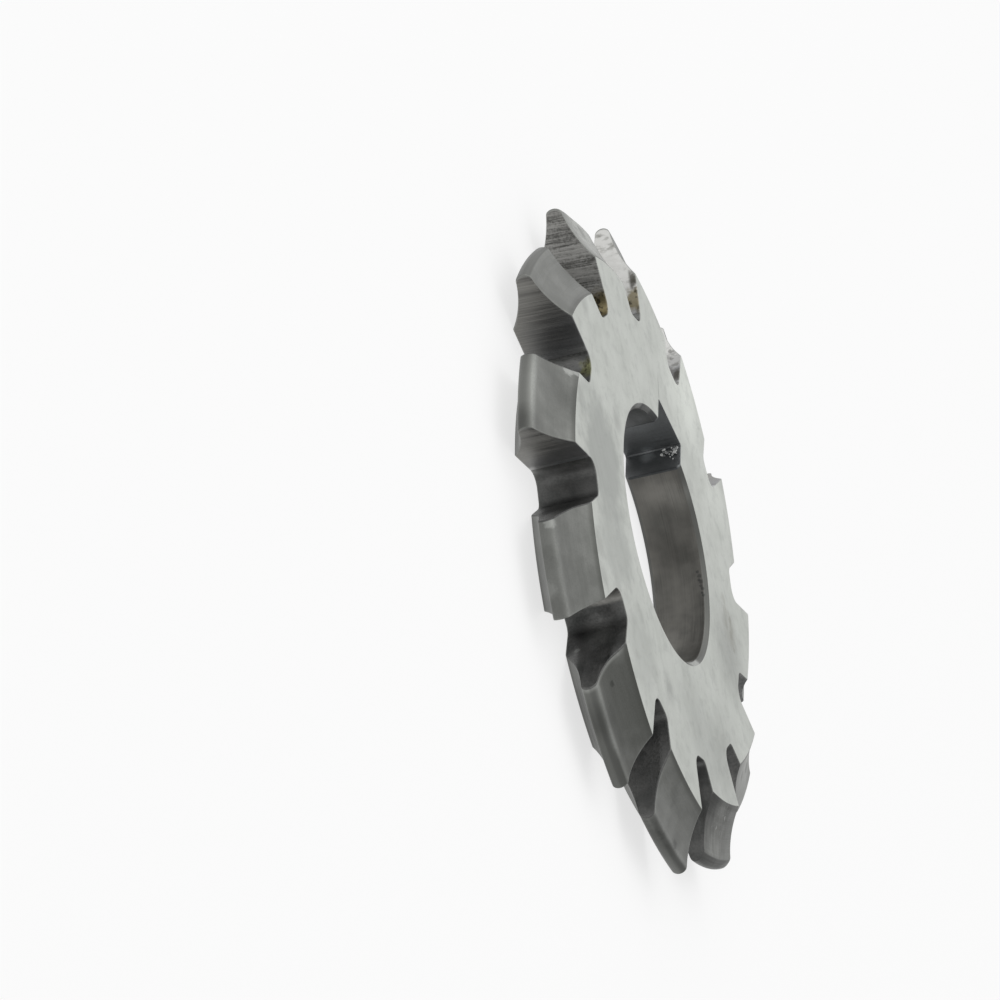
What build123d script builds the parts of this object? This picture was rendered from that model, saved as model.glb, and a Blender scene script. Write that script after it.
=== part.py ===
from build123d import *
from math import cos, radians, sin, sqrt, tan
import os

# A form-relieved disc cutter for milling gear teeth, made from one piece of tool steel.
# The origin is on the bore's axis, in the lower side face. +Z runs along the bore, and
# the middle of the keyway is along +Y. Lengths are in millimetres, angles in degrees.

# Disc
thickness = 5.1
edge_radius = 29.4            # from the bore's axis to the crest of a cutting edge

# Bore and keyway, for a standard 22 mm milling arbor with a 6 mm key
bore_radius = 11.0
bore_chamfer = 0.35
key_width = 6.0
key_depth = 2.3               # beyond the wall of the bore
key_corner_radius = 0.2

# Tooth form, in the plane of a cutting edge
tooth_count = 12
form_height = 5.0             # from where a flank runs out into a side face up to the crest
crest_width = 1.3             # between the corners where the flanks meet the crest
crest_rise = 0.35             # the dome of the crest above its two corners
flank_radius = 10.0           # the hollow curve of each flank
relief_drop = 3.5             # how far the form sinks towards the axis over one tooth pitch

# Gullet between two teeth, seen along the bore
gullet_depth = 9.95           # from the crest of a cutting edge down to the flat floor
gullet_floor_width = 2.85
gash_angle = 30.0             # between the radial rake face and the back of the next tooth
rake_corner_radius = 1.2
heel_corner_radius = 0.9
key_past_edge = 6.4           # from a cutting edge on to the middle of the keyway

# Cutting tools run past the faces that they cut through by this much.
overrun = 1.0

pitch_angle = 360.0 / tooth_count
key_angle = 90.0
edge_angles = [key_angle - key_past_edge + pitch_angle * n for n in range(tooth_count)]

# Each tooth is relieved as on a cam lathe: from the cutting edge back, its whole form sinks
# evenly towards the bore. A turn about a cam axis beside the bore sinks by very nearly the
# same amount for each degree, where that axis lies square to the middle of the tooth.
# A tooth takes up about two thirds of the pitch.
cam_offset = relief_drop / radians(pitch_angle)
cam_direction = 90.0 - pitch_angle / 3
cam_x = cam_offset * cos(radians(cam_direction))
cam_y = cam_offset * sin(radians(cam_direction))


def from_cam_axis(radius):
    """Distance from the cam axis to a point of the rake plane, given its radius from the bore's axis."""
    return sqrt((radius - cam_x) ** 2 + cam_y**2)


def tooth_form():
    """Half section of the relieved disc, from the cam axis out to a domed crest between two hollow flanks."""
    shoulder = from_cam_axis(edge_radius - form_height)
    crest = from_cam_axis(edge_radius)
    middle = thickness / 2
    low_shoulder = (shoulder, 0)
    high_shoulder = (shoulder, thickness)
    low_corner = (crest - crest_rise, middle - crest_width / 2)
    high_corner = (crest - crest_rise, middle + crest_width / 2)
    outline = Curve() + [
        Polyline((0, thickness), (0, 0), low_shoulder),
        RadiusArc(low_shoulder, low_corner, flank_radius),
        ThreePointArc(low_corner, (crest, middle), high_corner),
        RadiusArc(high_corner, high_shoulder, flank_radius),
        Line(high_shoulder, (0, thickness)),
    ]
    return make_face(outline)


def relieved_sector():
    """One pitch of the disc with its relieved form, from a cutting edge along +X back to the next one."""
    reach = (edge_radius + overrun) / cos(radians(pitch_angle / 2))
    back = (reach * cos(radians(pitch_angle)), -reach * sin(radians(pitch_angle)))
    wedge = extrude(make_face(Polyline((0, 0), back, (reach, 0), (0, 0))), thickness)
    form = Pos(cam_x, cam_y) * revolve(Plane.XZ * tooth_form(), Axis.Z)
    return form & wedge


def gullet():
    """Space ahead of a cutting edge along +X: radial rake face, flat floor and the next tooth's back."""
    floor = edge_radius - gullet_depth
    reach = edge_radius + overrun
    mouth_width = gullet_floor_width + (reach - floor) * tan(radians(gash_angle))
    outline = make_face(
        Polyline((floor, 0), (floor, gullet_floor_width), (reach, mouth_width), (reach, 0), (floor, 0))
    )
    rake_corner = outline.vertices().group_by(Axis.X)[0].sort_by(Axis.Y)[0]
    outline = fillet(rake_corner, rake_corner_radius)
    heel_corner = outline.vertices().group_by(Axis.X)[0].sort_by(Axis.Y)[-1]
    outline = fillet(heel_corner, heel_corner_radius)
    return Pos(0, 0, -overrun) * extrude(outline, thickness + 2 * overrun)


def bore():
    """The arbor's hole, opening out at both side faces in a 45 degree chamfer."""
    flare = bore_radius + bore_chamfer + overrun
    outline = Polyline(
        (0, -overrun),
        (flare, -overrun),
        (bore_radius, bore_chamfer),
        (bore_radius, thickness - bore_chamfer),
        (flare, thickness + overrun),
        (0, thickness + overrun),
        (0, -overrun),
    )
    return revolve(Plane.XZ * make_face(outline), Axis.Z)


def keyway():
    """The slot for the arbor's key, straight through, with round corners at its floor."""
    floor = bore_radius + key_depth
    slot = Pos(0, floor / 2) * Rectangle(key_width, floor)
    floor_corners = slot.vertices().group_by(Axis.Y)[-1]
    slot = fillet(floor_corners, key_corner_radius)
    return Pos(0, 0, -overrun) * extrude(slot, thickness + 2 * overrun)


sector = relieved_sector()
disc = Part() + [Rot(Z=angle) * sector for angle in edge_angles]
gash = gullet()
gear_cutter = disc - [Rot(Z=angle) * gash for angle in edge_angles] - bore() - keyway()

os.makedirs("parts", exist_ok=True)
export_step(gear_cutter, "parts/gear_cutter.step")
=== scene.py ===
import bpy
import numpy as np
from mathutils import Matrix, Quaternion, Vector
from mathutils.geometry import delaunay_2d_cdt


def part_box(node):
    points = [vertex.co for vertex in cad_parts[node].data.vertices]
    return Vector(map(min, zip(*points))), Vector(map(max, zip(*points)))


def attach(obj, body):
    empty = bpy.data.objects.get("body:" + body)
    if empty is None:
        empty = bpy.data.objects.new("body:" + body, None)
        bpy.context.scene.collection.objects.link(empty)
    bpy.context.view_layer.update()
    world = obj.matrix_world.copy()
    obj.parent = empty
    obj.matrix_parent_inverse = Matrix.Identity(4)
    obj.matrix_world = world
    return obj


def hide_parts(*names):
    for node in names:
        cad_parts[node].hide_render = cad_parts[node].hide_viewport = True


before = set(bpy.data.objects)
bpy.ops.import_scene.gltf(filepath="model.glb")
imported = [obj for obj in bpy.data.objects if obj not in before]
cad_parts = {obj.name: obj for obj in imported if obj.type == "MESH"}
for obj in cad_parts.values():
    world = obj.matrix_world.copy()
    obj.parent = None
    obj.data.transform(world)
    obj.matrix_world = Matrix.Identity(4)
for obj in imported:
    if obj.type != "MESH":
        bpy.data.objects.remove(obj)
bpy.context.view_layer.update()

# The view
# A long lens looks across the disc from 14 degrees above its upper side face. The camera is
# turned on its side, so that the disc shows upright with that face to the right.
camera_place = Vector((-0.21537, -0.21073, 0.08071))
camera_aim = Vector((-0.00687, 0.00148, -0.00759))
camera_roll = np.radians(77.32)
camera_lens_mm = 131.86
sensor_mm = 36.0

camera_data = bpy.data.cameras.new("view_camera")
camera_data.sensor_width = sensor_mm
camera_data.lens = camera_lens_mm
camera = bpy.data.objects.new("view_camera", camera_data)
camera.location = camera_place
camera.rotation_mode = "QUATERNION"
upright = (camera_aim - camera_place).to_track_quat("-Z", "Y")
camera.rotation_quaternion = upright @ Quaternion((0, 0, 1), camera_roll)
bpy.context.scene.collection.objects.link(camera)
bpy.context.scene.camera = camera
bpy.context.scene.view_settings.view_transform = "Standard"

# The cutter's form
# One disc of hardened tool steel. Its teeth are relieved on a cam lathe, so that the whole
# tooth form sinks towards the bore behind each cutting edge. Sizes are in millimetres and
# degrees, with the origin on the bore's axis in the lower side face.
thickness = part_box("gear_cutter")[1].z * 1000
edge_radius = 29.4
bore_radius = 11.0
bore_chamfer = 0.35
key_width = 6.0
key_depth = 2.3
key_corner_radius = 0.2
tooth_count = 12
form_height = 5.0
crest_width = 1.3
crest_rise = 0.35
flank_radius = 10.0
relief_drop = 3.5
gullet_depth = 9.95
gullet_floor_width = 2.85
gash_angle = 30.0
rake_corner_radius = 1.2
heel_corner_radius = 0.9
key_past_edge = 6.4           # from the first cutting edge to the middle of the keyway
edge_break = 0.05             # the small round that use and stoning leave round the side faces
corner_break = 0.14           # the same at the cutting edges
heel_break = 0.12             # and at the teeth's backs
crest_break = 0.16            # and where a flank meets the crest
heel_overrun = 0.22           # how far the flank runs on past the gash's plane at the teeth's backs
overrun_share = 0.4           # the share of the form's height over which that grows

# How many points the mesh has along each part: half a crest, a flank, a small round, a broken
# edge, a rake face or a gash's back, the gullet's floor and its corners, a tooth from its back
# to its cutting edge, half the key's floor, its wall, the bore, and the bore from side to side.
dome_steps = 7
flank_steps = 20
round_steps = 5
break_steps = 3
wall_steps = 12
floor_steps = 3
rake_corner_steps = 8
heel_corner_steps = 7
relief_steps = 28
key_floor_steps = 6
key_wall_steps = 8
bore_steps = 300
bore_levels = 14

pitch = np.radians(360.0 / tooth_count)
first_edge = np.radians(90.0 - key_past_edge)
gullet_floor = edge_radius - gullet_depth
cam_offset = relief_drop / pitch
cam_angle = np.pi / 2 - pitch / 3    # from the rake plane, so that the relief is even over a tooth
cam_axis = cam_offset * np.array([np.cos(cam_angle), np.sin(cam_angle)])
crest_half_length = np.hypot(crest_width / 2, crest_rise)

# The zones of the surface, numbered in the order in which their finishes go on.
rake_zone, gullet_zone, relieved_zone, key_zone, bore_zone, face_zone = range(6)

# The teeth that differ from the rest, by the angle of the cutting edge. Their crests lie lower
# at the edge and behind it, slant across the cutter, or reach out past the rake face or the back.
# A change starts clear of the gullet's floor and grows over the rise. The other angles are
# counted from the tooth's cutting edge.
change_clear = 1.5
change_rise = 6.0
tooth_from = -4.0
tooth_to = 24.0
edge_run = 8.0
back_from = 6.0
unlike_teeth = (
    {"edge": 143.6, "at_edge": -0.3, "behind": -0.6},
    {"edge": 263.6, "at_edge": -0.1, "slant": -0.1, "forward": 0.4, "back": 0.6},
    {"edge": 293.6, "back": 0.35},
    {"edge": 323.6, "slant": -0.5, "back": 0.5},
)


def turned(points, angle):
    """Points in the plane, turned about the bore's axis: x cos - y sin, x sin + y cos."""
    x, y = points[..., 0], points[..., 1]
    return np.stack([x * np.cos(angle) - y * np.sin(angle), x * np.sin(angle) + y * np.cos(angle)], -1)


def from_cam_axis(radius):
    """Distance from the cam axis to a point of the rake plane, given its radius from the bore's axis."""
    return np.hypot(radius - cam_axis[0], cam_axis[1])


def closing_in(steps):
    """Steps from 0 up to, but not including, 1, as half a cosine wave: close together at both ends."""
    return (1 - np.cos(np.pi * np.arange(steps) / steps)) / 2


def straight(start, end, steps):
    """Steps from start up to, but not including, end, close together at both ends."""
    t = closing_in(steps)[:, None]
    return start[..., None, :] * (1 - t) + end[..., None, :] * t


def rounded(before, corner, after, steps):
    """A parabola from before to after, tangent to both sides of the corner, without its last point."""
    t = (np.arange(steps) / steps)[:, None]
    before, corner, after = before[..., None, :], corner[..., None, :], after[..., None, :]
    return (1 - t) ** 2 * before + 2 * t * (1 - t) * corner + t**2 * after


def arc(centre, radius, first, last, t):
    """Points on a circle, at each share t of the way from the angle first to the angle last."""
    angle = np.asarray(first)[..., None] * (1 - t) + np.asarray(last)[..., None] * t
    radius = np.asarray(radius)[..., None]
    return centre + np.stack([radius * np.cos(angle), radius * np.sin(angle)], -1)


def even(steps):
    """Even steps from 0 up to, but not including, 1."""
    return np.arange(steps) / steps


def smooth(share):
    """A share held between 0 and 1, eased at both ends: 3 s^2 - 2 s^3."""
    share = np.clip(share, 0, 1)
    return share * share * (3 - 2 * share)


def tooth_form():
    """Levels of the tooth form from the lower side face to the upper one.

    In the plane through the cam axis a flank is a circle of flank_radius whose centre lies
    outside the steel, and the crest is the circle through its two corners and its top. The
    corner between them and the edge at the side face are rounded. Gives the distance from
    the cam axis, the height, how far the side face's edge round draws the wall in, and the
    length along the form from the middle of the crest.
    """
    shoulder = np.array([from_cam_axis(edge_radius - form_height), thickness / 2])
    crest = from_cam_axis(edge_radius)
    corner = np.array([crest - crest_rise, crest_width / 2])
    dome_radius = (corner[1] ** 2 + crest_rise**2) / (2 * crest_rise)
    dome_centre = np.array([crest - dome_radius, 0.0])
    dome_half = np.arcsin(corner[1] / dome_radius)
    chord = corner - shoulder
    away = np.array([-chord[1], chord[0]]) / np.linalg.norm(chord)
    flank_centre = (corner + shoulder) / 2 + away * np.sqrt(flank_radius**2 - (chord @ chord) / 4)
    painted_light_at_corner = np.arctan2(*(corner - flank_centre)[::-1])
    at_shoulder = np.arctan2(*(shoulder - flank_centre)[::-1])

    dome_last = dome_half - crest_break / dome_radius
    dome = arc(dome_centre, dome_radius, 0.0, dome_last, even(dome_steps))
    dome_end = dome_centre + dome_radius * np.array([np.cos(dome_last), np.sin(dome_last)])
    past_corner = painted_light_at_corner + np.sign(at_shoulder - painted_light_at_corner) * crest_break / flank_radius
    flank_start = flank_centre + flank_radius * np.array([np.cos(past_corner), np.sin(past_corner)])
    corner_round = rounded(dome_end, corner, flank_start, round_steps)
    flank = arc(flank_centre, flank_radius, past_corner, at_shoulder, closing_in(flank_steps))
    round_angle = np.linspace(np.pi / 2, 0, round_steps)
    edge_height = thickness / 2 - edge_break * (1 - np.cos(round_angle))
    edge_distance = flank_centre[0] - np.sqrt(flank_radius**2 - (edge_height - flank_centre[1]) ** 2)
    edge = np.stack([edge_distance, edge_height], -1)
    half = np.concatenate([dome, corner_round, flank[flank[:, 1] < edge_height[0] - edge_break], edge])
    drawn_in = np.zeros(len(half))
    drawn_in[-round_steps:] = edge_break * (1 - np.sin(round_angle))
    length = np.concatenate([[0], np.cumsum(np.linalg.norm(np.diff(half, axis=0), axis=1))])

    both = [np.concatenate([v[:0:-1], v]) for v in (half[:, 0], drawn_in)]
    height = thickness / 2 + np.concatenate([-half[:0:-1, 1], half[:, 1]])
    return both[0], height, both[1], np.concatenate([-length[:0:-1], length])


def gullet_and_tooth(distance):
    """Outline of one gullet and of the next tooth at each distance of the form from the cam axis.

    Down the radial rake face, round the floor's two corners, up the leaning back, and along
    the circle about the cam axis to the next cutting edge. Gives the points and, for each
    step, its zone.
    """
    lean = np.array([np.cos(np.radians(gash_angle)), np.sin(np.radians(gash_angle))])
    foot = np.array([gullet_floor, gullet_floor_width])
    foot_round = heel_corner_radius * np.tan((np.pi / 2 - np.radians(gash_angle)) / 2)
    edge = np.stack([cam_axis[0] + np.sqrt(distance**2 - cam_axis[1] ** 2), 0 * distance], -1)
    next_edge = turned(edge, pitch)
    next_cam = turned(cam_axis, pitch)
    to_foot = foot - next_cam
    up_back = -(to_foot @ lean) + np.sqrt((to_foot @ lean) ** 2 - to_foot @ to_foot + distance**2)
    overrun = heel_overrun * smooth((distance - distance.min()) / (overrun_share * np.ptp(distance)))

    def on_circle(point, turn):
        """The point moved along the circle about the next tooth's cam axis by a length."""
        return next_cam + turned(point - next_cam, turn / distance)

    heel = on_circle(foot + up_back[:, None] * lean, -overrun)

    def spread(points):
        """The same points at every level."""
        return np.broadcast_to(points, (len(distance), *points.shape[-2:]))

    down = np.array([-1.0, 0.0])
    rake_start = edge + corner_break * down
    rake_end = np.array([gullet_floor + rake_corner_radius, 0.0])
    rake_centre = rake_end + [0, rake_corner_radius]
    floor_start = np.array([gullet_floor, rake_corner_radius])
    heel_centre = foot + [heel_corner_radius, -foot_round]
    back_angle = np.pi / 2 + np.radians(gash_angle)
    back_start = foot + foot_round * lean
    down_back = back_start - heel
    heel_before = heel + heel_break * down_back / np.linalg.norm(down_back, axis=-1, keepdims=True)
    heel_after = on_circle(heel, heel_break)
    edge_before = on_circle(next_edge, -corner_break)
    edge_after = next_edge + corner_break * turned(down, pitch)
    from_heel = np.arctan2(*(heel_after - next_cam).T[::-1])
    to_edge = np.arctan2(*(edge_before - next_cam).T[::-1])
    rake_corner = arc(rake_centre, rake_corner_radius, -np.pi / 2, -np.pi, even(rake_corner_steps))
    heel_corner = arc(heel_centre, heel_corner_radius, np.pi, back_angle, even(heel_corner_steps))
    parts = [
        (rake_zone, straight(rake_start, spread(rake_end[None])[:, 0], wall_steps)),
        (gullet_zone, spread(rake_corner)),
        (gullet_zone, spread(straight(floor_start, foot - [0, foot_round], floor_steps))),
        (gullet_zone, spread(heel_corner)),
        (gullet_zone, straight(spread(back_start[None])[:, 0], heel_before, wall_steps)),
        (gullet_zone, rounded(heel_before, heel, heel_after, break_steps)),
        (relieved_zone, arc(next_cam, distance, from_heel, to_edge, closing_in(relief_steps))),
        (relieved_zone, rounded(edge_before, next_edge, edge_after, break_steps)),
    ]
    zones = np.concatenate([np.full(p.shape[-2], zone) for zone, p in parts])
    return np.concatenate([p for _, p in parts], axis=1), zones


def unlike(outline, distance, height):
    """The outline with the crests of the teeth that differ moved along and round the radius.

    A point moves by its tooth's change, times the fourth power of its level's height in the
    tooth form, times a share that falls to none a little above the gullet's floor. The
    change goes smoothly from that at the edge to that behind it, and a slant adds to it in
    proportion to the height off the disc's middle. A back that reaches further sinks with
    the relief as it goes.
    """
    angle = np.degrees(np.arctan2(outline[..., 1], outline[..., 0]))
    radius = np.hypot(outline[..., 0], outline[..., 1])
    up_form = ((distance - distance.min()) / np.ptp(distance))[:, None]
    off_floor = smooth((radius - gullet_floor - change_clear) / change_rise)
    share = up_form**4 * off_floor
    relief = relief_drop / (pitch * edge_radius)
    for tooth in unlike_teeth:
        behind_edge = (tooth["edge"] - angle + 180) % 360 - 180
        of_tooth = (behind_edge > tooth_from) & (behind_edge < tooth_to)
        behind = smooth(behind_edge / edge_run)
        change = tooth.get("at_edge", 0) * (1 - behind) + tooth.get("behind", 0) * behind
        change = change + tooth.get("slant", 0) * (height[:, None] - thickness / 2)
        at_back = smooth((behind_edge - back_from) / edge_run)
        back = of_tooth * smooth(2 * up_form) * off_floor * at_back * tooth.get("back", 0)
        radius = radius + of_tooth * share * change - back * relief
        forward = of_tooth * share * (1 - behind) * tooth.get("forward", 0)
        angle = angle + np.degrees((forward - back) / edge_radius)
    angle = np.radians(angle)
    return np.stack([radius * np.cos(angle), radius * np.sin(angle)], -1)


def pushed_in(loops, depth):
    """Closed loops, each point drawn in by a depth, square to the line through its neighbours."""
    along = np.roll(loops, -1, axis=-2) - np.roll(loops, 1, axis=-2)
    along /= np.linalg.norm(along, axis=-1, keepdims=True)
    return loops + np.stack([-along[..., 1], along[..., 0]], -1) * np.asarray(depth)[..., None, None]


def bore_loops(radius):
    """The bore with its keyway at each radius of the wall: the key's floor and wall, the round wall,
    and the key's other wall and floor. Gives the points and, for each step, its zone.
    """
    floor = bore_radius + key_depth
    half = key_width / 2
    r = key_corner_radius
    meets = np.sqrt(radius**2 - half**2)
    angle = np.arctan2(meets, half) - corner_break / radius
    start = np.stack([-radius * np.cos(angle), radius * np.sin(angle)], -1)
    level = np.zeros((len(radius), 1, 1))

    def at(x, y):
        """The same place at every radius."""
        return np.stack([x + 0 * radius, y + 0 * radius], -1)

    left = np.concatenate([
        straight(at(0, floor), at(-half + r, floor), key_floor_steps),
        level + arc(np.array([-half + r, floor - r]), r, np.pi / 2, np.pi, even(round_steps)),
        straight(at(-half, floor - r), at(-half, meets + corner_break), key_wall_steps),
        rounded(at(-half, meets + corner_break), at(-half, meets), start, break_steps),
    ], axis=1)
    wall = arc(np.zeros(2), radius, np.pi - angle, 2 * np.pi + angle, even(bore_steps))
    last = start * [-1, 1]
    right = left[:, ::-1] * [-1, 1]
    zones = np.full(left.shape[1] * 2 + bore_steps, key_zone)
    zones[left.shape[1]:left.shape[1] + bore_steps] = bore_zone
    return np.concatenate([left, wall, last[:, None], right[:, :-1]], axis=1), zones


def quads(index):
    """Corners of the faces of a grid of vertex numbers whose last column joins its first."""
    right = np.roll(index, -1, axis=1)
    return np.stack([index[:-1], right[:-1], right[1:], index[1:]], -1).reshape(-1, 4)


def at_corners(values):
    """Values on a grid with its closing column, given for the four corners of each face of quads()."""
    return np.stack([values[:-1, :-1], values[:-1, 1:], values[1:, 1:], values[1:, :-1]], -1)


def lengths_along(loops):
    """Running length along each loop, from its first point to its last."""
    steps = np.linalg.norm(np.diff(loops, axis=1), axis=-1)
    return np.concatenate([np.zeros((len(loops), 1)), np.cumsum(steps, axis=1)], axis=1)


def filled_ring(outer, outer_index, inner, inner_index):
    """Triangles of the flat ring between two loops, facing up: those in the outer but not the inner."""
    inside_only = 1
    same_point = 1e-6
    points = [Vector(point) for point in np.concatenate([outer, inner])]
    loops = [list(range(len(outer))), list(range(len(outer), len(points)))]
    made = delaunay_2d_cdt(points, [], loops, inside_only, same_point)
    faces, came_from, within = made[2], made[3], made[5]
    ring = np.array([face for face, loops_round in zip(faces, within) if loops_round == [0]])
    source = np.array([first[0] for first in came_from])
    return np.concatenate([outer_index, inner_index])[source[ring]]


def build_cutter():
    """The whole surface: outer wall, bore, and the two side faces that join them.

    The outer wall is a grid of level by outline, and the bore one of level by loop. Each
    side face is the flat ring between them. Two UV layers hold millimetres for the finish:
    "wall" is the length round the wall and across it, the latter from the middle of the
    crest, and "edges" is the distance from the cutting edge and that past the tooth's back or,
    in the gashes, past the foot of the rake face.
    """
    distance, height, drawn_in, form_length = tooth_form()
    one, zones = gullet_and_tooth(distance)
    angles = first_edge + pitch * np.arange(tooth_count)
    outline = unlike(np.concatenate([turned(one, a) for a in angles], axis=1), distance, height)
    outline = pushed_in(outline, drawn_in)
    along = lengths_along(np.concatenate([one, turned(one[:, :1], pitch)], axis=1))
    tooth = zones[:, None] == relieved_zone
    foot, heel = along[:, np.argmax(zones == gullet_zone)], along[:, np.argmax(tooth)]
    once_round = along[:, -1].mean()
    around = at_corners(along)[:, None] + (once_round * np.arange(tooth_count))[:, None, None]
    across = at_corners(np.broadcast_to(form_length[:, None], along.shape))
    from_edge = np.where(tooth, at_corners(along[:, -1:] - along), at_corners(along))
    past_corner = np.where(tooth, at_corners(along - heel[:, None]), at_corners(along - foot[:, None]))

    def every_tooth(values):
        """The same corner values for each tooth."""
        return np.broadcast_to(values[:, None], around.shape).reshape(-1, 4)

    round_angle = np.linspace(0, np.pi / 2, round_steps)
    low = edge_break * (1 - np.cos(round_angle))
    wall = np.linspace(bore_chamfer, thickness - bore_chamfer, bore_levels)
    near = bore_chamfer + edge_break * np.array([-1, 0, 1])
    bore_height = np.concatenate([low, near, wall[1:-1], thickness - near[::-1], thickness - low[::-1]])
    flare = np.maximum(bore_chamfer - np.minimum(bore_height, thickness - bore_height), 0)
    bore_in = np.zeros(len(bore_height))
    bore_in[:round_steps] = edge_break * (1 - np.sin(round_angle))
    bore_in[-round_steps:] = bore_in[round_steps - 1::-1]
    bore_line, bore_zones = bore_loops(bore_radius + flare)
    bore_line = pushed_in(bore_line, -bore_in)
    bore_along = lengths_along(np.concatenate([bore_line, bore_line[:, :1]], axis=1))
    bore_across = np.broadcast_to(bore_height[:, None], bore_along.shape)
    bore_lengths = [at_corners(values).reshape(-1, 4)[:, ::-1] for values in (bore_along, bore_across)]

    sheets = [
        np.dstack([outline, np.broadcast_to(height[:, None], outline.shape[:2])]),
        np.dstack([bore_line, np.broadcast_to(bore_height[:, None], bore_line.shape[:2])]),
    ]
    outer = np.arange(sheets[0][..., 0].size).reshape(sheets[0].shape[:2])
    bore = outer.size + np.arange(sheets[1][..., 0].size).reshape(sheets[1].shape[:2])
    walls = [quads(outer), quads(bore)[:, ::-1]]
    rings = [
        filled_ring(outline[0], outer[0], bore_line[0], bore[0])[:, ::-1],
        filled_ring(outline[-1], outer[-1], bore_line[-1], bore[-1]),
    ]
    vertices = np.concatenate([s.reshape(-1, 3) for s in sheets]) * 0.001
    mesh = bpy.data.meshes.new("cutter_disc")
    mesh.from_pydata(vertices.tolist(), [], [face for group in walls + rings for face in group.tolist()])

    ring_count = sum(len(r) for r in rings)
    outer_zones = np.tile(zones, tooth_count * (len(distance) - 1))
    bore_zones = np.tile(bore_zones, len(bore_height) - 1)
    finish = np.concatenate([outer_zones, bore_zones, np.full(ring_count, face_zone)])
    mesh.polygons.foreach_set("material_index", finish.astype(np.int32))
    mesh.polygons.foreach_set("use_smooth", finish != face_zone)
    flat_corners = np.zeros((ring_count * 3, 2))
    for name, on_outer, on_bore in (
        ("wall", (around.reshape(-1, 4), every_tooth(across)), bore_lengths),
        ("edges", (every_tooth(from_edge), every_tooth(past_corner)), np.zeros_like(bore_lengths)),
    ):
        corners = [np.stack(pair, -1).reshape(-1, 2) for pair in (on_outer, on_bore)]
        layer = mesh.uv_layers.new(name=name)
        layer.data.foreach_set("uv", np.concatenate([*corners, flat_corners]).ravel().astype(np.float32))
    mesh.update()
    return mesh


cutter_mesh = build_cutter()
cutter = bpy.data.objects.new("cutter_disc", cutter_mesh)
bpy.context.scene.collection.objects.link(cutter)
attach(cutter, "root")
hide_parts("gear_cutter")

# The finish of the teeth's relieved form
# The flanks and the crest are form-turned and polished along the tooth. The crest, and one flank below the
# bore, are coloured darker than the other flanks. Highlights are painted beside the crest and on its
# corners, and shade is painted in a line along the side faces. The light lines at the backs and the edges
# are partly wear and partly painted highlight.

# In every finish, a mark is given as (centre, reach, share), a tone as (centre, reach, factor),
# the lines that a tool leaves as (spacing, length), and roughness as (lowest, highest).
flank_colour = (0.2, 0.204, 0.193, 1)
flank_dull_colour = (0.135, 0.139, 0.13, 1)
flank_line_colour = (0.28, 0.285, 0.27, 1)
crest_colour = (0.125, 0.127, 0.12, 1)
# the colour of worn edges and of painted highlights
wear_and_highlight_colour = (0.42, 0.43, 0.41, 1)
flank_dark_colour = (0.075, 0.077, 0.07, 1)
dark_crest_colour = (0.025, 0.026, 0.024, 1)
form_lines = (0.09, 9.0)
form_streaks = (0.55, 5.0)
cross_streaks = (0.45, 2.2)
form_line_depth = 0.004
form_roughness = (0.36, 0.46)
fleck_size = (0.2, 0.7)       # along the tooth, and across it
flank_cloud_size = 2.0
crest_highlight_reach = 1.1              # how far the flank has a painted highlight beside the crest
corner_highlight_reach = 0.55            # the same of the painted highlight band on the corner between them
side_shade = 0.4              # and of the painted shade line along the side face
back_wear_and_highlight_reach = 0.4               # and of the light line along a tooth's back, partly wear and partly painted highlight
form_edge_wear_and_highlight = 0.25         # and of the worn line at the cutting edge, partly painted highlight
darker_flank_patches = (((-6.5, -23.8, 4.3), 7.5, 0.85),)
darkened_crests = (((17.6, -21.4, 2.6), 3.5, 0.95), ((20.4, -19.6, 2.6), 3.5, 0.8))
# painted highlights on the corners between crest and flank
corner_highlights = (((-27.2, -7.5, 3.0), 7.0, 0.5), ((-9.0, -26.0, 3.0), 5.0, 0.55),
                  ((5.5, -26.8, 3.2), 6.0, 0.2), ((-18.5, -21.0, 3.2), 6.0, 0.25))
# light lines at the teeth's backs, partly wear and partly painted highlight
back_wear_and_highlights = (((-9.6, -24.0, 4.0), 5.0, 0.5), ((4.2, -25.5, 3.7), 3.5, 0.2))
faded_crest = ((-18.9, -21.4, 2.5), 8.0)
streaked_flank = ((16.5, -18.6, 4.2), 6.0)
flecked_flank = ((16.7, -17.3, 4.5), 2.6)
specked_flank = ((-19.0, 18.8, 3.5), 4.5)
relieved_tones = (
    ((-27.2, -7.2, 2.7), 4.5, 1.3), ((-23.5, -5.9, 4.5), 3.6, 0.72), ((-14.8, -20.0, 4.8), 2.2, 1.1),
    ((-9.8, -25.7, 2.3), 2.6, 1.15), ((5.5, -27.5, 2.5), 5.0, 0.72), ((13.9, -19.5, 4.0), 2.6, 0.7),
    ((13.6, -18.0, 4.8), 2.8, 0.45), ((24.6, -6.4, 4.2), 6.0, 1.7), ((-19.0, 19.0, 3.4), 6.0, 2.2),
    ((-8.6, -26.7, 2.5), 2.5, 0.7), ((18.6, -19.9, 3.5), 3.5, 1.3), ((-24.2, -7.9, 0.7), 2.6, 0.7),
    ((-26.8, -10.8, 1.9), 2.2, 0.65))
flank_lights = (
    ((-16.9, 19.8, 3.5), 1.6, 0.6), ((-14.0, 21.3, 4.0), 1.8, 0.6), ((-18.8, -21.6, 2.05), 0.9, 0.2),
    ((-21.54, -17.05, 2.95), 0.7, 0.4), ((-23.1, -2.3, 4.5), 0.7, 0.6), ((-22.3, -1.9, 4.9), 0.6, 0.6),
    ((4.2, -25.9, 3.4), 2.2, 0.15), ((6.3, -25.9, 3.6), 2.0, 0.12))
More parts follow.
